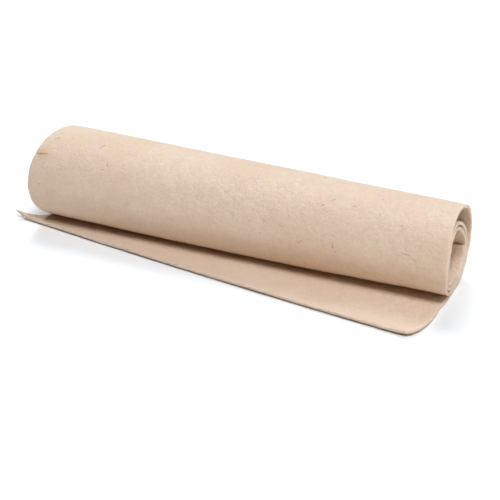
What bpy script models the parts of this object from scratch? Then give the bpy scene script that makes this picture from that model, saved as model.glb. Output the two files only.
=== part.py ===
"""Roll of thick felt lying on its side, with the loose end of the sheet spread in front of it.

The felt is one sheet. Its free end lies on the surface, runs back under the roll, and then winds
round and inwards: up the back, over the top, down the front. The roll's axis is along X, the free
end points to -Y, and Z is up. The inner turns lie loosely, so a crescent stays open behind them.
"""

import math

import bmesh
import bpy

NODE = "felt_sheet"

# Driving sizes, in metres
THICKNESS = 0.0036
ROLL_LENGTH = 0.450
RADIUS_RIGHT = 0.0475
RADIUS_LEFT = 0.0506
TURNS = 3.21
GAP_BELOW = 0.0010         # air between two turns at the bottom, where they are pressed together
GAP_ABOVE = 0.0020         # and at the top
LOOSE_GAP = 0.0138         # extra air between the outer turn and the inner coil, high at the back
LOOSE_FROM = 0.07          # where round the roll that air opens and closes, in turns
LOOSE_TO = 0.68
SINK = 0.0012              # how far the roll's own weight flattens it where it rests
CREASE_FRONT = 0.0040      # softness of the bend where a turn comes down onto the one below it
CREASE_BACK = 0.0010       # and where it leaves the flat strip at the back

# How far each end of the roll leans along X for each metre towards the back
LEAN_LEFT = 0.335
LEAN_RIGHT = 0.020

# The flap: the part of the sheet that lies unrolled in front
FLAP_MIDDLE = 0.0792       # length on the surface halfway along the roll
FLAP_WIDENING = 0.128      # how much longer it gets for each metre to the right
FLAP_TAPER = 0.0050        # how much shorter still it is at the left end
FLAT_MIDDLE = 0.0370       # how far from the roll it starts to rise
FLAT_LEFT = 0.0200
EDGE_LIFT = 0.0034         # height of the free edge above the surface
CORNER_LIFT_LEFT = 0.0100  # extra height where the left corner curls up
CORNER_LIFT_RIGHT = 0.0018
CORNER_REACH = 0.030       # share of the length over which the left curl dies away
CORNER_FLARE = 0.0205      # how far the left corner swings out past the roll
RIGHT_INSET = 0.0020       # the flap's right side stands back from the roll's end
RIGHT_ROUNDING = 0.0180    # how far the worn right corner is rounded off
ROUNDING_START = 0.57

# Mesh divisions
STEPS_PER_TURN = 28
FLAP_STEPS = 11
STATIONS = (0.0, 0.012, 0.030, 0.060, 0.120, 0.300, 0.550, 0.800, 0.940, 1.0)

FELT_COLOUR = (0.80, 0.68, 0.54, 1.0)


def smooth_step(value):
    value = min(1.0, max(0.0, value))
    return value * value * (3.0 - 2.0 * value)


def blend(left, right, share):
    return left + (right - left) * share


def turn_pitch(angle):
    """How far one turn lies inside the one before it, in this direction from the axis."""
    opened = 0.5 - 0.5 * math.cos(angle)
    return THICKNESS + blend(GAP_BELOW, GAP_ABOVE, opened)


def smooth_lesser(first, second, rounding):
    """The lesser of two values, with the crossing rounded off."""
    overlap = max(0.0, rounding - abs(first - second)) / rounding
    return min(first, second) - 0.25 * rounding * overlap * overlap


def turn_radius(angle, radius):
    """Distance from the roll's axis to the middle of the sheet. Angle 0 is the first touch on the
    surface, and the sheet goes up the back from there. Near the bottom each turn is pressed flat
    on the one below it."""
    full = 2.0 * math.pi
    turn = int(angle / full + 1e-9)
    around = angle - full * turn
    pitch = turn_pitch(angle)
    loose = 0.0
    opened = (around / full - LOOSE_FROM) / (LOOSE_TO - LOOSE_FROM)
    if turn > 0 and 0.0 < opened < 1.0:
        loose = LOOSE_GAP * math.sin(math.pi * opened) ** 2
    round_reach = radius - 0.5 * THICKNESS - turn * pitch - loose
    below = round(angle / full)
    near = angle - full * below
    if abs(near) > 0.45 * math.pi:
        return round_reach
    flat_reach = (radius - SINK - 0.5 * THICKNESS - below * pitch) / math.cos(near)
    return smooth_lesser(round_reach, flat_reach, CREASE_FRONT if near < 0.0 else CREASE_BACK)


def roll_point(angle, share):
    """Height and depth of the sheet's middle in the wound part, at a share of the length."""
    radius = blend(RADIUS_LEFT, RADIUS_RIGHT, share)
    reach = turn_radius(angle, radius)
    depth = reach * math.sin(angle)
    height = radius - SINK - reach * math.cos(angle)
    return depth, height


def roll_ends(depth):
    left = -0.5 * ROLL_LENGTH + LEAN_LEFT * depth
    right = 0.5 * ROLL_LENGTH + LEAN_RIGHT * depth
    return left, right


def flap_length(share):
    length = FLAP_MIDDLE + FLAP_WIDENING * ROLL_LENGTH * (share - 0.5)
    return length - FLAP_TAPER * (1.0 - share) ** 3


def flap_point(out, share):
    """Place of the sheet's middle in the flap, where out is 0 at the roll and 1 at the free edge."""
    length = flap_length(share)
    curl = math.exp(-share / CORNER_REACH)
    flat = blend(FLAT_MIDDLE, FLAT_LEFT, curl)
    lift = EDGE_LIFT + CORNER_LIFT_LEFT * curl
    lift += CORNER_LIFT_RIGHT * math.exp(-(1.0 - share) / CORNER_REACH)
    along = out * length
    rise = max(0.0, (along - flat) / (length - flat))
    depth = -along
    height = 0.5 * THICKNESS + lift * rise * rise
    left, right = roll_ends(depth)
    left -= CORNER_FLARE * out ** 3
    right -= RIGHT_INSET * smooth_step(2.0 * out)
    worn = max(0.0, (out - ROUNDING_START) / (1.0 - ROUNDING_START))
    right -= RIGHT_ROUNDING * (1.0 - math.sqrt(1.0 - min(0.98, worn * worn)))
    return blend(left, right, share), depth, height


def sheet_rows():
    """Rows of points across the sheet, from its free edge to the end inside the roll."""
    rows = []
    for step in range(FLAP_STEPS, 0, -1):
        out = step / FLAP_STEPS
        rows.append([flap_point(out, share) for share in STATIONS])
    edge = math.acos(1.0 - SINK / (RADIUS_RIGHT - 0.5 * THICKNESS))
    total = 2.0 * math.pi * TURNS
    count = round(STEPS_PER_TURN * TURNS)
    angles = [0.0, edge]
    angles += [total * step / count for step in range(2, count + 1)]
    for angle in angles:
        row = []
        for share in STATIONS:
            depth, height = roll_point(angle, share)
            left, right = roll_ends(depth)
            row.append((blend(left, right, share), depth, height))
        rows.append(row)
    return rows


def centred(rows):
    """Moves the rows so that the sheet's box is centred over the origin."""
    across = [point[0] for row in rows for point in row]
    deep = [point[1] for row in rows for point in row]
    middle_x = 0.5 * (min(across) + max(across))
    middle_y = 0.5 * (min(deep) + max(deep))
    return [[(x - middle_x, y - middle_y, z) for x, y, z in row] for row in rows]


def felt_material():
    material = bpy.data.materials.new("felt")
    material.use_nodes = True
    shader = material.node_tree.nodes["Principled BSDF"]
    shader.inputs["Base Color"].default_value = FELT_COLOUR
    shader.inputs["Roughness"].default_value = 0.95
    shader.inputs["Metallic"].default_value = 0.0
    return material


def build_sheet():
    """The sheet's middle surface as a grid of faces, thickened evenly to both sides."""
    shell = bmesh.new()
    grid = [[shell.verts.new(point) for point in row] for row in centred(sheet_rows())]
    for row, following in zip(grid, grid[1:]):
        for column in range(len(row) - 1):
            corners = (row[column], row[column + 1], following[column + 1], following[column])
            shell.faces.new(corners)
    bmesh.ops.triangulate(shell, faces=shell.faces)
    bmesh.ops.recalc_face_normals(shell, faces=shell.faces)
    mesh = bpy.data.meshes.new(NODE)
    shell.to_mesh(mesh)
    shell.free()
    sheet = bpy.data.objects.new(NODE, mesh)
    bpy.context.scene.collection.objects.link(sheet)
    thicken = sheet.modifiers.new("thickness", "SOLIDIFY")
    thicken.thickness = THICKNESS
    thicken.offset = 0.0
    thicken.use_even_offset = True
    mesh.materials.append(felt_material())
    mesh.shade_smooth()
    mesh.set_sharp_from_angle(angle=math.radians(40.0))
    return sheet


def main():
    for leftover in list(bpy.data.objects):
        bpy.data.objects.remove(leftover)
    build_sheet()


main()
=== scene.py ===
import math
import bmesh
import bpy
import numpy as np
from mathutils import Matrix, Vector, noise


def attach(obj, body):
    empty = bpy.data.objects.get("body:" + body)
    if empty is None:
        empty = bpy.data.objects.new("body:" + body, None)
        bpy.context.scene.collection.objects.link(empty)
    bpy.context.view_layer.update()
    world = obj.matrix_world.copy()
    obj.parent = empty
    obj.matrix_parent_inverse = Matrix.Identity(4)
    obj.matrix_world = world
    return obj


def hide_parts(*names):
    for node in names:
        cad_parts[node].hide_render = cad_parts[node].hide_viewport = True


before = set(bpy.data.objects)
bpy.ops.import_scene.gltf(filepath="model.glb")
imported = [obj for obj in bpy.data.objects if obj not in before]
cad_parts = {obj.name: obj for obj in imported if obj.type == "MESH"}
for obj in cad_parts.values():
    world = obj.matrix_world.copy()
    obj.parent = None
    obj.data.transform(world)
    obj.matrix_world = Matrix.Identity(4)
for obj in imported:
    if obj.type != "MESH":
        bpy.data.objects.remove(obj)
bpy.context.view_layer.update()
print("frame loaded")

fullTurn = 2.0 * math.pi


def placeObject(name, data):
    made = bpy.data.objects.new(name, data)
    bpy.context.scene.collection.objects.link(made)
    return made


def newMaterial(name):
    material = bpy.data.materials.new(name)
    material.use_nodes = True
    return material, material.node_tree.nodes, material.node_tree.links


def addNode(nodes, kind, inputs=None, **settings):
    node = nodes.new(kind)
    for key, value in settings.items():
        setattr(node, key, value)
    for key, value in (inputs or {}).items():
        node.inputs[key].default_value = value
    return node


def feed(links, socket, value):
    # value is another node's socket, or a plain number or colour
    if isinstance(value, bpy.types.NodeSocket):
        links.new(value, socket)
    else:
        socket.default_value = value


def colourMix(nodes, links, factor, first, second):
    node = addNode(nodes, "ShaderNodeMix", data_type="RGBA")
    for place, value in ((0, factor), (6, first), (7, second)):
        feed(links, node.inputs[place], value)
    return node.outputs[2]


def mathNode(nodes, links, operation, first, second, clamp=False):
    node = addNode(nodes, "ShaderNodeMath", operation=operation, use_clamp=clamp)
    feed(links, node.inputs[0], first)
    feed(links, node.inputs[1], second)
    return node.outputs[0]


def ramp(nodes, links, source, low, high):
    node = addNode(nodes, "ShaderNodeMapRange", {"From Min": low, "From Max": high})
    node.interpolation_type = "SMOOTHSTEP"
    links.new(source, node.inputs["Value"])
    return node.outputs["Result"]


feltSheet = {
    "thickness": 0.0036,
    "rollLength": 0.450,
    "radiusRight": 0.0475,
    "radiusLeft": 0.0506,
    "turns": 3.21,
    "gapBelow": 0.0010,       # air between pressed turns
    "gapAbove": 0.0020,
    "looseGap": 0.0138,       # the crescent behind the inner coil
    "looseFrom": 0.07,        # where in a turn it opens and closes
    "looseTo": 0.68,
    "sink": 0.0012,           # how far the roll's weight flattens its bottom
    "flatReach": 0.45,        # half turns to each side of the bottom that may lie flat
    "creaseFront": 0.0040,
    "creaseBack": 0.0010,
    # the lower front bulges in the middle and is tucked in at the ends: height, share of the
    # width where it is greatest, fall towards the ends, least, turn of the roll, reach in turns
    "sag": (0.0017, 0.42, 0.013, -0.0015, 0.905, 0.10),
    "leanLeft": 0.335,        # how the two ends of the roll slant
    "leanRight": 0.020,
    "frontLean": 0.085,       # the front of the open end stands out a little to the right
    "flapMiddle": 0.0750,     # the flap's length in the middle, and how it grows to the right
    "flapWidening": 0.128,
    "flapTaper": 0.0080,      # the flap gets shorter towards its left corner
    "taperBend": 2.54,
    "flatMiddle": 0.0370,     # the part of the flap that lies flat
    "flatLeft": 0.0266,
    "edgeLift": 0.0016,
    "cornerLiftLeft": 0.0058,
    "cornerLiftRight": 0.0024,
    "cornerReachLeft": 0.015,
    "cornerReachRight": 0.030,
    "cornerFlare": 0.0294,    # the left corner runs out into a tongue
    "flareBend": 6.0,
    "rightInset": 0.0020,
    "rightRounding": 0.0180,  # the rounded right corner
    "roundingStart": 0.57,
    "mostRounded": 0.98,
    "moveX": 0.0174,          # brings the sheet's box over the origin
    "moveY": 0.0296,
    "flapRows": 44,
    "outerRows": 120,
    "innerRows": 54,          # for each inner turn
    "columns": 150,
    # rows and columns close to a cut edge: metres, shares of the flap, angle of the roll
    "closeSides": (0.0, 0.0003, 0.0008, 0.0016, 0.0028),
    "closeFlap": (0.0, 0.0008, 0.0022, 0.0045, 0.0085, 0.014, 0.022, 0.034),
    "closeEnd": (0.0, 0.008, 0.022, 0.045, 0.080),
    # rounding of the cut edges: how far in it starts, and the share of the thickness left there
    "sideRounding": (0.0011, 0.55),
    "endRounding": (0.0014, 0.50),
    "endRoundingBelow": (0.0030, 0.22),
    # low waves in the wool: waves per metre and height in metres
    "waves": ((22.0, 0.00034), (70.0, 0.00017), (170.0, 0.00009)),
    "edgeWander": 0.00045,    # how far a cut edge strays from a straight line
    "wanderReach": 0.012,
    # its waves per metre, their layer of the noise, and their share
    "wanderWaves": ((95.0, 41.0, 1.0), (310.0, 17.0, 0.5)),
    "layerStep": 7.3,
    "tableGap": 0.00005,
    "mapStep": 0.5,           # the under face lies this far beside the upper one on the cloth map
    "cutReach": 0.004,        # how far in the paler cut edge shows
}


def smoothStep(value):
    value = min(1.0, max(0.0, value))
    return value * value * (3.0 - 2.0 * value)


def blendValue(left, right, share):
    return left + (right - left) * share


def turnPitch(angle):
    opened = 0.5 - 0.5 * math.cos(angle)
    return feltSheet["thickness"] + blendValue(feltSheet["gapBelow"], feltSheet["gapAbove"], opened)


def smoothLesser(first, second, rounding):
    overlap = max(0.0, rounding - abs(first - second)) / rounding
    return min(first, second) - 0.25 * rounding * overlap * overlap


def turnRadius(angle, radius, share):
    # distance from the roll's axis to the middle of the sheet; angle 0 is the bottom
    turn = int(angle / fullTurn + 1e-9)
    around = angle - fullTurn * turn
    pitch = turnPitch(angle)
    loose = 0.0
    opened = around / fullTurn - feltSheet["looseFrom"]
    opened /= feltSheet["looseTo"] - feltSheet["looseFrom"]
    if turn > 0 and 0.0 < opened < 1.0:
        loose = feltSheet["looseGap"] * math.sin(math.pi * opened) ** 2
    roundReach = radius - 0.5 * feltSheet["thickness"] - turn * pitch - loose
    height, greatest, fall, least, middle, reach = feltSheet["sag"]
    height = max(least, height - fall * (share - greatest) ** 2)
    roundReach += height * smoothStep(1.0 - abs(around / fullTurn - middle) / reach)
    below = round(angle / fullTurn)
    near = angle - fullTurn * below
    if abs(near) > feltSheet["flatReach"] * math.pi:
        return roundReach
    flatReach = radius - feltSheet["sink"] - 0.5 * feltSheet["thickness"] - below * pitch
    crease = feltSheet["creaseFront"] if near < 0.0 else feltSheet["creaseBack"]
    return smoothLesser(roundReach, flatReach / math.cos(near), crease)


def rollEnds(depth):
    left = -0.5 * feltSheet["rollLength"] + feltSheet["leanLeft"] * depth
    right = 0.5 * feltSheet["rollLength"] + feltSheet["leanRight"] * depth
    return left, right


def rollPoint(angle, share):
    radius = blendValue(feltSheet["radiusLeft"], feltSheet["radiusRight"], share)
    reach = turnRadius(angle, radius, share)
    depth = reach * math.sin(angle)
    left, right = rollEnds(depth)
    right += feltSheet["frontLean"] * max(0.0, -depth) ** 2 / radius
    height = radius - feltSheet["sink"] - reach * math.cos(angle)
    return blendValue(left, right, share), depth, height


def flapPoint(out, share):
    # out is 0 below the roll and 1 at the free edge
    length = feltSheet["flapMiddle"]
    length += feltSheet["flapWidening"] * feltSheet["rollLength"] * (share - 0.5)
    length -= feltSheet["flapTaper"] * (1.0 - share) ** feltSheet["taperBend"]
    curl = math.exp(-share / feltSheet["cornerReachLeft"])
    flat = blendValue(feltSheet["flatMiddle"], feltSheet["flatLeft"], curl)
    lift = feltSheet["edgeLift"] + feltSheet["cornerLiftLeft"] * curl
    lift += feltSheet["cornerLiftRight"] * math.exp(-(1.0 - share) / feltSheet["cornerReachRight"])
    along = out * length
    rise = max(0.0, (along - flat) / (length - flat))
    depth = -along
    height = 0.5 * feltSheet["thickness"] + lift * rise * rise
    left, right = rollEnds(depth)
    left -= feltSheet["cornerFlare"] * out ** feltSheet["flareBend"]
    right -= feltSheet["rightInset"] * smoothStep(2.0 * out)
    worn = max(0.0, (out - feltSheet["roundingStart"]) / (1.0 - feltSheet["roundingStart"]))
    worn = min(feltSheet["mostRounded"], worn * worn)
    right -= feltSheet["rightRounding"] * (1.0 - math.sqrt(1.0 - worn))
    return blendValue(left, right, share), depth, height


def sheetShares():
    # places across the sheet, closer together at the two cut sides
    edge = [value / feltSheet["rollLength"] for value in feltSheet["closeSides"]]
    count = feltSheet["columns"]
    middle = [blendValue(edge[-1], 1.0 - edge[-1], step / count) for step in range(1, count)]
    return edge + middle + [1.0 - value for value in reversed(edge)]


def sheetStations():
    # places along the sheet, from the free edge inwards: ("flap", out) or ("roll", angle)
    rows, outerRows = feltSheet["flapRows"], feltSheet["outerRows"]
    closeFlap, closeEnd = feltSheet["closeFlap"], feltSheet["closeEnd"]
    start = 1.0 - closeFlap[-1]
    stations = [("flap", 1.0 - value) for value in closeFlap]
    stations += [("flap", blendValue(start, 0.0, step / rows)) for step in range(1, rows)]
    stations += [("roll", fullTurn * step / outerRows) for step in range(outerRows)]
    count = round((feltSheet["turns"] - 1.0) * feltSheet["innerRows"])
    last = fullTurn * feltSheet["turns"]
    inner = last - closeEnd[-1] - fullTurn
    stations += [("roll", fullTurn + inner * step / count) for step in range(count + 1)]
    stations += [("roll", last - value) for value in reversed(closeEnd[:-1])]
    return stations


def unitRows(vectors):
    return vectors / np.linalg.norm(vectors, axis=-1)[..., None]


def edgeProfile(distance, softness, least):
    # how full the sheet is near a cut edge
    near = np.clip(distance / softness, 0.0, 1.0)
    return least + (1.0 - least) * np.sqrt(1.0 - (1.0 - near) ** 2)


def strayAt(x, y, part):
    # plain noise, because Blender starts noise_vector from the clock
    return sum(share * noise.noise(Vector((x * rate, y * rate,
                                           layer + feltSheet["layerStep"] * part)))
               for rate, layer, share in feltSheet["wanderWaves"])


def shapeSheet():
    # the middle of the sheet as a grid: rows from the free edge inwards, columns left to right
    shares = sheetShares()
    grid = np.array([[flapPoint(value, share) if kind == "flap" else rollPoint(value, share)
                      for share in shares] for kind, value in sheetStations()])
    grid += (feltSheet["moveX"], feltSheet["moveY"], 0.0)
    steps = np.linalg.norm(np.diff(grid, axis=0), axis=2).mean(axis=1)
    length = np.concatenate([[0.0], np.cumsum(steps)])
    width = np.array(shares) * feltSheet["rollLength"]
    along = unitRows(np.gradient(grid, axis=0))
    across = unitRows(np.gradient(grid, axis=1))
    normals = unitRows(np.cross(across, along))
    fromSide = np.minimum(width, width[-1] - width)
    fromEnd = np.minimum(length, length[-1] - length)
    for i in range(grid.shape[0]):
        for j in range(grid.shape[1]):
            wave = sum(height * noise.noise(Vector((width[j] * rate, length[i] * rate, rate)))
                       for rate, height in feltSheet["waves"])
            grid[i, j] += normals[i, j] * wave
            near = min(fromSide[j], fromEnd[i])
            if near < feltSheet["wanderReach"]:
                # a hand-cut edge wanders a little in the plane of the sheet
                stray = (across[i, j] * strayAt(width[j], length[i], 0)
                         + along[i, j] * strayAt(width[j], length[i], 1))
                fade = 1.0 - near / feltSheet["wanderReach"]
                grid[i, j] += stray * fade * feltSheet["edgeWander"]
    half = []
    for rounding in (feltSheet["endRounding"], feltSheet["endRoundingBelow"]):
        ends = edgeProfile(fromEnd, *rounding)
        sides = edgeProfile(fromSide, *feltSheet["sideRounding"])
        half.append(0.5 * feltSheet["thickness"] * ends[:, None] * sides[None, :])
    return {"middle": grid, "normals": normals, "along": along, "across": across,
            "half": half[0], "halfBelow": half[1],
            "length": length, "width": width, "fromSide": fromSide, "fromEnd": fromEnd}


def buildSheet(shape):
    rows, columns = shape["middle"].shape[:2]
    offset = rows * columns
    width, length = shape["width"], shape["length"]
    sides = []
    for side, half in ((1.0, shape["half"]), (-1.0, shape["halfBelow"])):
        points = shape["middle"] + side * shape["normals"] * half[:, :, None]
        points[:, :, 2] = np.maximum(points[:, :, 2], feltSheet["tableGap"])
        sides.append(points.reshape(-1, 3))

    def at(i, j, side):
        return side * offset + i * columns + j

    faces = []
    for i in range(rows - 1):
        for j in range(columns - 1):
            faces.append((at(i, j, 0), at(i, j + 1, 0), at(i + 1, j + 1, 0), at(i + 1, j, 0)))
            faces.append((at(i, j, 1), at(i + 1, j, 1), at(i + 1, j + 1, 1), at(i, j + 1, 1)))
    rim = [(i, 0) for i in range(rows)]
    rim += [(rows - 1, j) for j in range(1, columns)]
    rim += [(i, columns - 1) for i in range(rows - 2, -1, -1)]
    rim += [(0, j) for j in range(columns - 2, 0, -1)]
    for first, second in zip(rim, rim[1:] + rim[:1]):
        faces.append((at(*first, 0), at(*second, 0), at(*second, 1), at(*first, 1)))
    mesh = bpy.data.meshes.new("feltRoll")
    mesh.from_pydata(np.concatenate(sides).tolist(), [], faces)
    mesh.validate()
    # a map of the cloth in metres: the under face lies beside the upper one, and a cut face goes
    # on from the upper one
    layer = mesh.uv_layers.new(name="clothMap")
    firstRim = 2 * (rows - 1) * (columns - 1)
    for polygon in mesh.polygons:
        for index in polygon.loop_indices:
            side, place = divmod(mesh.loops[index].vertex_index, offset)
            i, j = divmod(place, columns)
            if polygon.index < firstRim:
                layer.data[index].uv = (width[j] + feltSheet["mapStep"] * side, length[i])
            else:
                outX = (j == columns - 1) - (j == 0)
                outY = (i == rows - 1) - (i == 0)
                reach = side * feltSheet["thickness"]
                layer.data[index].uv = (width[j] + outX * reach, length[i] + outY * reach)
    near = np.minimum(shape["fromEnd"][:, None], shape["fromSide"][None, :])
    cut = np.clip(1.0 - near / feltSheet["cutReach"], 0.0, 1.0).reshape(-1)
    attribute = mesh.attributes.new("cutEdge", "FLOAT", "POINT")
    attribute.data.foreach_set("value", np.concatenate([cut, cut]).astype(np.float32))
    tidy = bmesh.new()
    tidy.from_mesh(mesh)
    bmesh.ops.recalc_face_normals(tidy, faces=tidy.faces)
    tidy.to_mesh(mesh)
    tidy.free()
    mesh.shade_smooth()
    print("sheet:", len(mesh.polygons), "faces,", round(float(length[-1]), 4), "m long")
    return placeObject("feltRoll", mesh)


feltFinish = {
    "base": (0.860, 0.680, 0.528, 1.0),
    "pale": (0.900, 0.748, 0.612, 1.0),
    "warm": (0.805, 0.595, 0.425, 1.0),
    "grey": (0.640, 0.520, 0.420, 1.0),
    "cutPale": (0.900, 0.745, 0.620, 1.0),
    "stain": (0.800, 0.560, 0.330, 1.0),
    "shader": {"Roughness": 0.95, "Sheen Weight": 0.06, "Sheen Roughness": 0.6,
               "Specular IOR Level": 0.05},
    # each noise: scale, detail, roughness and distortion, then the two values it is ramped between
    "patterns": {
        "broad": (13.0, 3.0, 0.5, 0.0, 0.35, 0.65),
        "patchy": (85.0, 4.0, 0.62, 0.5, 0.36, 0.68),
        "blotch": (190.0, 3.0, 0.6, 0.8, 0.50, 0.72),
        "clump": (300.0, 3.0, 0.7, 0.6, 0.34, 0.66),
        "fine": (520.0, 4.0, 0.65, 1.0, 0.30, 0.70),
        "grain": (1900.0, 2.0, 0.6, 0.5, 0.30, 0.70),
    },
    # crossing wool fibres: turn in degrees, fibres per metre across and along
    "fibreLayers": ((12.0, 1500.0, 110.0), (78.0, 1300.0, 95.0), (137.0, 1650.0, 120.0)),
    "fibreNoise": (1.0, 2.0, 0.55, 0.0),
    "driftNoise": (130.0, 2.0, 0.5, 0.0),
    "drift": (0.006, 0.006, 0.006),
    "paleThreads": (0.60, 0.74),
    "darkThreads": (0.36, 0.24),
    # the stain round the long splinter: its reach in metres, how ragged it is, and its ramp
    "stainReach": (0.012, 0.008),
    "stainRagged": 0.5,
    "stainRamp": (1.3, 0.2),
    # laid over the base in turn: pattern, strength, colour
    "tints": (("patchy", 0.42, "warm"), ("blotch", 0.32, "grey"), ("clump", 0.44, "warm"),
              ("fine", 0.38, "pale"), ("grain", 0.16, "warm"), ("paleThreads", 0.40, "pale"),
              ("darkThreads", 0.34, "grey"), ("cutEdge", 0.55, "cutPale"), ("stained", 0.50, "stain")),
    "relief": (("patchy", 0.90), ("clump", 0.60), ("fine", 0.55), ("grain", 0.16),
               ("paleThreads", 0.30)),
    "bump": {"Strength": 0.75, "Distance": 0.0007},
}


def feltMaterial(stainPlace):
    material, nodes, links = newMaterial("pressedWool")
    shader = nodes["Principled BSDF"]
    cloth = addNode(nodes, "ShaderNodeUVMap", uv_map="clothMap").outputs["UV"]

    def clothNoise(scale, detail, roughness, distortion, vector=cloth, part="Fac"):
        node = addNode(nodes, "ShaderNodeTexNoise", {"Scale": scale, "Detail": detail,
                                                     "Roughness": roughness, "Distortion": distortion})
        links.new(vector, node.inputs["Vector"])
        return node.outputs[part]

    def combine(operation, first, second):
        return mathNode(nodes, links, operation, first, second)

    def fibreLayer(turn, across, along):
        # noise drawn out into threads that wander as they go
        drift = addNode(nodes, "ShaderNodeVectorMath", {1: feltFinish["drift"]}, operation="MULTIPLY")
        links.new(clothNoise(*feltFinish["driftNoise"], part="Color"), drift.inputs[0])
        moved = addNode(nodes, "ShaderNodeVectorMath", operation="ADD")
        links.new(cloth, moved.inputs[0])
        links.new(drift.outputs[0], moved.inputs[1])
        lay = addNode(nodes, "ShaderNodeMapping", {"Rotation": (0.0, 0.0, math.radians(turn))})
        links.new(moved.outputs[0], lay.inputs["Vector"])
        stretch = addNode(nodes, "ShaderNodeMapping", {"Scale": (along, across, 1.0)})
        links.new(lay.outputs["Vector"], stretch.inputs["Vector"])
        return clothNoise(*feltFinish["fibreNoise"], vector=stretch.outputs["Vector"])

    found = {name: ramp(nodes, links, clothNoise(*values[:4]), *values[4:])
             for name, values in feltFinish["patterns"].items()}
    threads = [fibreLayer(*layer) for layer in feltFinish["fibreLayers"]]
    for name, operation in (("paleThreads", "MAXIMUM"), ("darkThreads", "MINIMUM")):
        most = combine(operation, combine(operation, threads[0], threads[1]), threads[2])
        found[name] = ramp(nodes, links, most, *feltFinish[name])
    found["cutEdge"] = addNode(nodes, "ShaderNodeAttribute", attribute_name="cutEdge").outputs["Fac"]

    long, wide = feltFinish["stainReach"]
    centre = addNode(nodes, "ShaderNodeMapping", {
        "Location": (-stainPlace[0] / long, -stainPlace[1] / wide, 0.0),
        "Scale": (1.0 / long, 1.0 / wide, 0.0)})
    links.new(cloth, centre.inputs["Vector"])
    distance = addNode(nodes, "ShaderNodeVectorMath", operation="LENGTH")
    links.new(centre.outputs["Vector"], distance.inputs[0])
    ragged = combine("MULTIPLY", found["patchy"], feltFinish["stainRagged"])
    ragged = combine("ADD", distance.outputs["Value"], ragged)
    found["stained"] = ramp(nodes, links, ragged, *feltFinish["stainRamp"])

    colour = colourMix(nodes, links, found["broad"], feltFinish["base"], feltFinish["pale"])
    for name, strength, other in feltFinish["tints"]:
        factor = combine("MULTIPLY", found[name], strength)
        colour = colourMix(nodes, links, factor, colour, feltFinish[other])
    links.new(colour, shader.inputs["Base Color"])
    for title, value in feltFinish["shader"].items():
        shader.inputs[title].default_value = value

    parts = [combine("MULTIPLY", found[name], share) for name, share in feltFinish["relief"]]
    height = parts[0]
    for part in parts[1:]:
        height = combine("ADD", height, part)
    bump = addNode(nodes, "ShaderNodeBump", feltFinish["bump"])
    links.new(height, bump.inputs["Height"])
    links.new(bump.outputs["Normal"], shader.inputs["Normal"])
    return material


# plant flecks pressed into the wool and the fuzz that stands off it are both bent, tapered fibres
fibreForm = {
    "mottle": {"Scale": 900.0, "Detail": 2.0},
    "mottleShare": 0.4,
    "mottleStart": 0.5,
    "specular": 0.2,
    # middle (x, y, z) and end (y) of each shape; it starts at x -0.5 and ends at 0.5
    "bends": (((0.06, 0.9, 0.15), 0.25), ((-0.1, -0.7, 0.25), 0.1), ((0.15, 1.3, 0.05), -0.3),
              ((0.0, -0.3, 0.5), -0.2), ((-0.2, 0.5, 0.35), -0.6)),
}


def fibreMaterial(name, dark, light, roughness):
    # each fibre has its own tone between two colours
    material, nodes, links = newMaterial(name)
    shader = nodes["Principled BSDF"]
    tone = addNode(nodes, "ShaderNodeAttribute", attribute_name="tone").outputs["Fac"]
    place = addNode(nodes, "ShaderNodeTexCoord").outputs["Object"]
    mottle = addNode(nodes, "ShaderNodeTexNoise", fibreForm["mottle"])
    links.new(place, mottle.inputs["Vector"])
    varied = mathNode(nodes, links, "MULTIPLY", mottle.outputs["Fac"], fibreForm["mottleShare"])
    varied = mathNode(nodes, links, "ADD", varied, fibreForm["mottleStart"])
    varied = mathNode(nodes, links, "ADD", tone, varied, clamp=True)
    links.new(colourMix(nodes, links, varied, dark, light), shader.inputs["Base Color"])
    shader.inputs["Roughness"].default_value = roughness
    shader.inputs["Specular IOR Level"].default_value = fibreForm["specular"]
    return material


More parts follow.
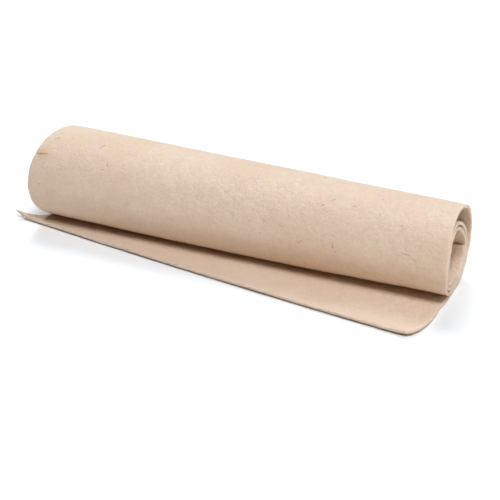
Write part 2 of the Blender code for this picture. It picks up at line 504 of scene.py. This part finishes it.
def fibreTree(name):
    # turns a cloud of points into fibres; each point carries its lie, reach, thickness and tone
    tree = bpy.data.node_groups.new(name, "GeometryNodeTree")
    for title, kind in (("Geometry", "Geometry"), ("Bend", "Float"), ("Taper", "Float"),
                        ("Sides", "Int"), ("Steps", "Int"), ("Seed", "Int"), ("Material", "Material")):
        tree.interface.new_socket(title, in_out="INPUT", socket_type="NodeSocket" + kind)
    tree.interface.new_socket("Geometry", in_out="OUTPUT", socket_type="NodeSocketGeometry")
    nodes, links = tree.nodes, tree.links
    given = nodes.new("NodeGroupInput").outputs
    result = nodes.new("NodeGroupOutput")

    def named(attribute, kind="FLOAT"):
        node = addNode(nodes, "GeometryNodeInputNamedAttribute", {"Name": attribute}, data_type=kind)
        return node.outputs["Attribute"]

    shapes = nodes.new("GeometryNodeGeometryToInstance")
    for middle, end in fibreForm["bends"]:
        points = []
        for x, y, z in (middle, (0.5, end, 0.0)):
            place = addNode(nodes, "ShaderNodeCombineXYZ", {"X": x})
            links.new(mathNode(nodes, links, "MULTIPLY", given["Bend"], y), place.inputs["Y"])
            links.new(mathNode(nodes, links, "MULTIPLY", given["Bend"], z), place.inputs["Z"])
            points.append(place.outputs["Vector"])
        line = addNode(nodes, "GeometryNodeCurveQuadraticBezier", {"Start": (-0.5, 0.0, 0.0)})
        links.new(given["Steps"], line.inputs["Resolution"])
        links.new(points[0], line.inputs["Middle"])
        links.new(points[1], line.inputs["End"])
        links.new(line.outputs["Curve"], shapes.inputs["Geometry"])
    pick = addNode(nodes, "FunctionNodeRandomValue", data_type="INT")
    pick.inputs[4].default_value = 0
    pick.inputs[5].default_value = len(fibreForm["bends"]) - 1
    links.new(given["Seed"], pick.inputs["Seed"])
    place = addNode(nodes, "GeometryNodeInstanceOnPoints", {"Pick Instance": True})
    lie = nodes.new("FunctionNodeEulerToRotation")
    links.new(named("lie", "FLOAT_VECTOR"), lie.inputs["Euler"])
    links.new(given["Geometry"], place.inputs["Points"])
    links.new(shapes.outputs["Instances"], place.inputs["Instance"])
    links.new(pick.outputs[2], place.inputs["Instance Index"])
    links.new(lie.outputs["Rotation"], place.inputs["Rotation"])
    links.new(named("reach"), place.inputs["Scale"])
    lines = nodes.new("GeometryNodeRealizeInstances")
    links.new(place.outputs["Instances"], lines.inputs["Geometry"])
    # thinner towards both tips: 1 - taper at a tip, and an arch of 4 x (1 - x) on top of it
    along = nodes.new("GeometryNodeSplineParameter").outputs["Factor"]
    arch = mathNode(nodes, links, "MULTIPLY", along, mathNode(nodes, links, "SUBTRACT", 1.0, along))
    arch = mathNode(nodes, links, "MULTIPLY", arch, 4.0)
    arch = mathNode(nodes, links, "MULTIPLY", arch, given["Taper"])
    tip = mathNode(nodes, links, "SUBTRACT", 1.0, given["Taper"])
    full = mathNode(nodes, links, "ADD", arch, tip)
    profile = addNode(nodes, "GeometryNodeCurvePrimitiveCircle", {"Radius": 1.0})
    links.new(given["Sides"], profile.inputs["Resolution"])
    tube = addNode(nodes, "GeometryNodeCurveToMesh", {"Fill Caps": True})
    links.new(lines.outputs["Geometry"], tube.inputs["Curve"])
    links.new(mathNode(nodes, links, "MULTIPLY", full, named("thick")), tube.inputs["Scale"])
    links.new(profile.outputs["Curve"], tube.inputs["Profile Curve"])
    solid = nodes.new("GeometryNodeRealizeInstances")
    links.new(tube.outputs["Mesh"], solid.inputs["Geometry"])
    finish = nodes.new("GeometryNodeSetMaterial")
    links.new(solid.outputs["Geometry"], finish.inputs["Geometry"])
    links.new(given["Material"], finish.inputs["Material"])
    links.new(finish.outputs["Geometry"], result.inputs["Geometry"])
    return tree


def growFibres(name, fibres, material, settings):
    # fibres: rows of (place, direction, normal, reach, thickness, tone)
    cloud = bpy.data.meshes.new(name + "Points")
    cloud.from_pydata([tuple(fibre[0]) for fibre in fibres], [], [])
    lies = []
    for place, direction, normal, *rest in fibres:
        ahead = Vector(direction).normalized()
        up = Vector(normal)
        side = up.cross(ahead).normalized()
        up = ahead.cross(side)
        lies += list(Matrix((ahead, side, up)).transposed().to_euler())
    cloud.attributes.new("lie", "FLOAT_VECTOR", "POINT").data.foreach_set("vector", lies)
    for title, part in (("reach", 3), ("thick", 4), ("tone", 5)):
        values = [fibre[part] for fibre in fibres]
        cloud.attributes.new(title, "FLOAT", "POINT").data.foreach_set("value", values)
    holder = placeObject(name + "Points", cloud)
    tree = fibreTree(name + "Tree")
    modifier = holder.modifiers.new("fibres", "NODES")
    modifier.node_group = tree
    settings = {**settings, "Material": material}
    for item in tree.interface.items_tree:
        if item.in_out == "INPUT" and item.name in settings:
            modifier[item.identifier] = settings[item.name]
    grown = holder.evaluated_get(bpy.context.evaluated_depsgraph_get())
    made = bpy.data.meshes.new_from_object(grown)
    made.name = name
    made.materials.clear()
    made.materials.append(material)
    made.shade_smooth()
    bpy.data.objects.remove(holder)
    print(name + ":", len(fibres), "fibres,", len(made.polygons), "faces")
    return placeObject(name, made)


def rowOf(kind, value):
    # the row of the sheet's grid at a share of the flap (0 at the roll, 1 at the free edge) or at a
    # turn of the roll
    keys = [-place if part == "flap" else place / fullTurn for part, place in sheetStations()]
    return float(np.interp(-value if kind == "flap" else value, keys, range(len(keys))))


def spotOnSheet(shape, row, share, side, rise=0.0):
    # the place, the two directions and the outward normal at a spot; side 1 is the flap's top
    # and -1 the roll's outside
    rows, columns = shape["middle"].shape[:2]
    column = float(np.interp(share * feltSheet["rollLength"], shape["width"], range(columns)))
    i, j = int(min(row, rows - 2)), int(min(column, columns - 2))
    u, v = row - i, column - j

    def between(name):
        grid = shape[name]
        return ((grid[i, j] * (1 - u) + grid[i + 1, j] * u) * (1 - v)
                + (grid[i, j + 1] * (1 - u) + grid[i + 1, j + 1] * u) * v)

    normal = between("normals") * side
    place = between("middle") + normal * (between("half" if side > 0.0 else "halfBelow") + rise)
    return place, between("along"), between("across"), normal


plantFlecks = {
    "seed": 7,
    # the scattered ones: from and to in turns or shares of the flap, side of the sheet, how many
    "areas": (("roll", 0.06, 0.96, -1.0, 270), ("flap", 0.02, 0.97, 1.0, 34),
              ("roll", 1.0, feltSheet["turns"], 1.0, 60)),
    "shares": (0.01, 0.99),
    "rise": -0.00003,
    "length": (0.0012, 0.0032, 2),   # least, what is added, and the power that keeps most short
    "thickness": (0.00008, 0.00018),
    "tone": (0.05, 0.75, 0.8),
    "turn": (-90.0, 90.0),
    "roughness": 0.8,
    "growth": {"Bend": 0.22, "Taper": 0.6, "Sides": 5, "Steps": 6, "Seed": 3},
    "dark": (0.085, 0.065, 0.050, 1.0),
    "light": (0.560, 0.430, 0.320, 1.0),
    # the ones that catch the eye: turn of the roll, share of the width, length and thickness in
    # millimetres, angle to the roll's axis in degrees, tone from 0 dark to 1 pale
    "prominentScale": (0.001, 0.00085, 0.7),
    "prominent": (
        (0.733, 0.747, 6.5, 0.30, 100.0, 0.00),
        (0.742, 0.747, 2.2, 0.48, 95.0, 0.00),
        (0.757, 0.753, 2.6, 0.34, 15.0, 0.15),
        (0.747, 0.672, 4.6, 0.36, 42.0, 0.00),
        (0.624, 0.890, 4.4, 0.28, 44.0, 0.15),
        (0.635, 0.893, 4.8, 0.24, 44.0, 0.30),
        (0.600, 0.837, 3.0, 0.30, 30.0, 0.25),
        (0.588, 0.777, 4.0, 0.30, 22.0, 0.20),
        (0.581, 0.727, 4.2, 0.30, 35.0, 0.25),
        (0.607, 0.708, 3.2, 0.36, 55.0, 0.15),
        (0.711, 0.908, 9.5, 0.26, -4.0, 0.20),
        (0.729, 0.928, 6.0, 0.26, -26.0, 0.25),
        (0.539, 0.830, 3.0, 0.30, 12.0, 0.35),
        (0.557, 0.146, 7.5, 0.34, 58.0, 0.30),
        (0.620, 0.186, 5.5, 0.34, 104.0, 0.25),
        (0.640, 0.180, 4.4, 0.36, 32.0, 0.20),
        (0.560, 0.030, 4.6, 0.42, 28.0, 0.25),
        (0.738, 0.256, 3.0, 0.30, 60.0, 0.35),
        (0.697, 0.585, 4.6, 0.28, 98.0, 0.40),
        (0.744, 0.579, 3.4, 0.32, 20.0, 0.35),
        (0.733, 0.031, 2.6, 0.34, 20.0, 0.15),
        (0.626, 0.016, 15.0, 0.50, 11.0, 0.62),
        (0.630, 0.022, 9.0, 0.28, 14.0, 0.40),
    ),
}

woolFuzz = {
    "seed": 23,
    "areas": (("roll", 0.04, 0.97, -1.0, 1200), ("flap", 0.0, 0.98, 1.0, 300)),
    "shares": (0.004, 0.996),
    "rise": -0.00005,
    "turn": (-180.0, 180.0),
    "lift": (0.05, 0.45),
    "thickness": (0.00003, 0.00005),
    "faceLength": (0.0010, 0.0030),
    "sideLength": (0.0006, 0.0018),
    "endLength": (0.0006, 0.0020),
    "perMetreOfEdge": 850,
    "edgeDepth": (0.2, 1.2),
    "edgeShare": 0.42,        # of the thickness
    "spread": (0.5, 0.8),     # of an edge's hairs, up and down and to the sides
    "rooted": 0.42,           # share of a hair's length from its root to its middle
    "lowest": 0.0008,
    "roughness": 0.9,
    "growth": {"Bend": 0.45, "Taper": 0.5, "Sides": 3, "Steps": 5, "Seed": 11},
    "dark": (0.700, 0.540, 0.400, 1.0),
    "light": (0.930, 0.800, 0.670, 1.0),
}


def laidDirection(spot, degrees):
    # along the sheet's face, turned from the roll's axis up over the roll
    angle = math.radians(degrees)
    return spot[2] * math.cos(angle) - spot[1] * math.sin(angle)


def buildFlecks(shape):
    rng = np.random.default_rng(plantFlecks["seed"])
    fibres = []
    long, wide, deep = plantFlecks["prominentScale"]
    for turn, share, length, thick, angle, tone in plantFlecks["prominent"]:
        spot = spotOnSheet(shape, rowOf("roll", turn), share, -1.0)
        direction = laidDirection(spot, angle)
        fibres.append((spot[0], direction, spot[3], long * length, wide * thick, deep * tone))
    least, more, power = plantFlecks["length"]
    darkest, paler, bias = plantFlecks["tone"]
    for kind, low, high, side, count in plantFlecks["areas"]:
        for index in range(count):
            row = rowOf(kind, rng.uniform(low, high))
            share = rng.uniform(*plantFlecks["shares"])
            spot = spotOnSheet(shape, row, share, side, plantFlecks["rise"])
            length = least + more * rng.random() ** power
            thick = rng.uniform(*plantFlecks["thickness"])
            tone = darkest + paler * rng.random() ** bias
            direction = laidDirection(spot, rng.uniform(*plantFlecks["turn"]))
            fibres.append((spot[0], direction, spot[3], length, thick, tone))
    material = fibreMaterial("plantFibre", plantFlecks["dark"], plantFlecks["light"],
                             plantFlecks["roughness"])
    return growFibres("plantFlecks", fibres, material, plantFlecks["growth"])


def buildFuzz(shape):
    rng = np.random.default_rng(woolFuzz["seed"])
    fibres = []

    def addHair(place, direction, normal, lengths):
        direction = direction / np.linalg.norm(direction)
        length = rng.uniform(*lengths)
        thick = rng.uniform(*woolFuzz["thickness"])
        middle = place + direction * length * woolFuzz["rooted"]
        fibres.append((middle, direction, normal, length, thick, rng.random()))

    def addEdgeHair(row, share, outward, beside, sign, lengths):
        # outward and beside are the numbers of two of the spot's directions
        spot = spotOnSheet(shape, row, share, 1.0)
        place = (spot[0] - spot[3] * rng.uniform(*woolFuzz["edgeDepth"])
                 * feltSheet["thickness"] * woolFuzz["edgeShare"])
        upDown, sideways = woolFuzz["spread"]
        direction = (spot[outward] * sign + spot[3] * rng.normal(0.0, upDown)
                     + spot[beside] * rng.normal(0.0, sideways))
        addHair(place, direction, spot[3], lengths)

    for kind, low, high, side, count in woolFuzz["areas"]:
        for index in range(count):
            row = rowOf(kind, rng.uniform(low, high))
            share = rng.uniform(*woolFuzz["shares"])
            spot = spotOnSheet(shape, row, share, side, woolFuzz["rise"])
            direction = laidDirection(spot, rng.uniform(*woolFuzz["turn"]))
            direction = direction + spot[3] * rng.uniform(*woolFuzz["lift"])
            addHair(spot[0], direction, spot[3], woolFuzz["faceLength"])
    rows = shape["middle"].shape[0] - 1
    length = shape["length"]
    for share, sign in ((0.0, -1.0), (1.0, 1.0)):
        for index in range(round(woolFuzz["perMetreOfEdge"] * length[-1])):
            row = float(np.interp(rng.uniform(0.0, length[-1]), length, range(rows + 1)))
            addEdgeHair(row, share, 2, 1, sign, woolFuzz["sideLength"])
    for row, sign in ((0.0, -1.0), (float(rows), 1.0)):
        for index in range(round(woolFuzz["perMetreOfEdge"] * feltSheet["rollLength"])):
            addEdgeHair(row, rng.random(), 1, 2, sign, woolFuzz["endLength"])
    fibres = [fibre for fibre in fibres if fibre[0][2] > woolFuzz["lowest"]]
    material = fibreMaterial("looseWool", woolFuzz["dark"], woolFuzz["light"], woolFuzz["roughness"])
    return growFibres("woolFuzz", fibres, material, woolFuzz["growth"])


sheetShape = shapeSheet()
feltPiece = buildSheet(sheetShape)
splinter = plantFlecks["prominent"][-2]   # the long one, with a stain round it
stainRow = rowOf("roll", splinter[0])
stainPlace = (feltSheet["mapStep"] + splinter[1] * feltSheet["rollLength"],
              float(np.interp(stainRow, range(len(sheetShape["length"])), sheetShape["length"])))
feltPiece.data.materials.append(feltMaterial(stainPlace))
flecks = buildFlecks(sheetShape)
fuzz = buildFuzz(sheetShape)
for piece in (feltPiece, flecks, fuzz):
    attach(piece, "root")
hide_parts("felt_sheet")
print("felt roll made")


studio = {
    "floorSize": 200.0,       # half its width
    "floorColour": (0.900, 0.895, 0.880, 1.0),
    "skyStrength": 0.02,
    "gamma": 0.87,            # a little contrast, as in a product photo
    # each light: height above the horizon and angle from the camera's side in degrees,
    # brightness, softness in degrees, colour
    "lights": {
        "topLight": (88.0, 0.0, 0.10, 60.0, (0.945, 1.000, 1.060)),
        "keyLight": (69.0, 12.0, 0.68, 20.0, (0.950, 0.995, 1.060)),
        "backLight": (53.0, 184.0, 0.47, 24.0, (0.945, 1.000, 1.060)),
        "rightLight": (36.0, 84.0, 0.19, 45.0, (0.970, 1.000, 1.040)),
    },
    # a warm card low at the front right: place, what it faces, power, width and height, colour
    "warmCard": ((0.72, -0.78, 0.12), (0.12, 0.0, 0.03), 1.35, 0.60, 0.18, (1.00, 0.78, 0.58)),
    "cameraPlace": (0.56203, -1.23809, 0.77285),
    "cameraTurn": (1.0587882, 0.0, 0.4067137),
    "lens": 106.63,
    "sensor": 36.0,
}


def addLight(name, height, side, brightness, softness, colour):
    lamp = bpy.data.lights.new(name, "SUN")
    lamp.energy = brightness * math.pi
    lamp.color = colour
    lamp.angle = math.radians(softness)
    light = placeObject(name, lamp)
    turn = studio["cameraTurn"][2] - 0.5 * math.pi + math.radians(side)
    up = math.radians(height)
    away = Vector((math.cos(up) * math.cos(turn), math.cos(up) * math.sin(turn), math.sin(up)))
    light.rotation_euler = (-away).to_track_quat("-Z", "Y").to_euler()


def addCard(name, place, target, power, width, height, colour):
    lamp = bpy.data.lights.new(name, "AREA")
    lamp.shape = "RECTANGLE"
    lamp.size, lamp.size_y = width, height
    lamp.energy = power
    lamp.color = colour
    light = placeObject(name, lamp)
    light.location = place
    light.rotation_euler = (Vector(target) - Vector(place)).to_track_quat("-Z", "Y").to_euler()
    light.visible_camera = False


def buildStudio():
    size = studio["floorSize"]
    corners = [(-size, -size, 0), (size, -size, 0), (size, size, 0), (-size, size, 0)]
    mesh = bpy.data.meshes.new("floor")
    mesh.from_pydata(corners, [], [(0, 1, 2, 3)])
    material, nodes, links = newMaterial("paleFloor")
    shader = nodes["Principled BSDF"]
    shader.inputs["Base Color"].default_value = studio["floorColour"]
    shader.inputs["Roughness"].default_value = 1.0
    shader.inputs["Specular IOR Level"].default_value = 0.0
    mesh.materials.append(material)
    placeObject("floor", mesh)
    world = bpy.data.worlds.new("softSky")
    world.use_nodes = True
    sky = world.node_tree.nodes["Background"]
    sky.inputs["Color"].default_value = (1.0, 1.0, 1.0, 1.0)
    sky.inputs["Strength"].default_value = studio["skyStrength"]
    scene = bpy.context.scene
    scene.world = world
    for name, settings in studio["lights"].items():
        addLight(name, *settings)
    addCard("warmCard", *studio["warmCard"])
    lens = bpy.data.cameras.new("camera")
    lens.lens = studio["lens"]
    lens.sensor_width = studio["sensor"]
    camera = placeObject("camera", lens)
    camera.location = studio["cameraPlace"]
    camera.rotation_euler = studio["cameraTurn"]
    scene.camera = camera
    scene.view_settings.view_transform = "Standard"
    scene.view_settings.gamma = studio["gamma"]
    print("studio ready")


buildStudio()
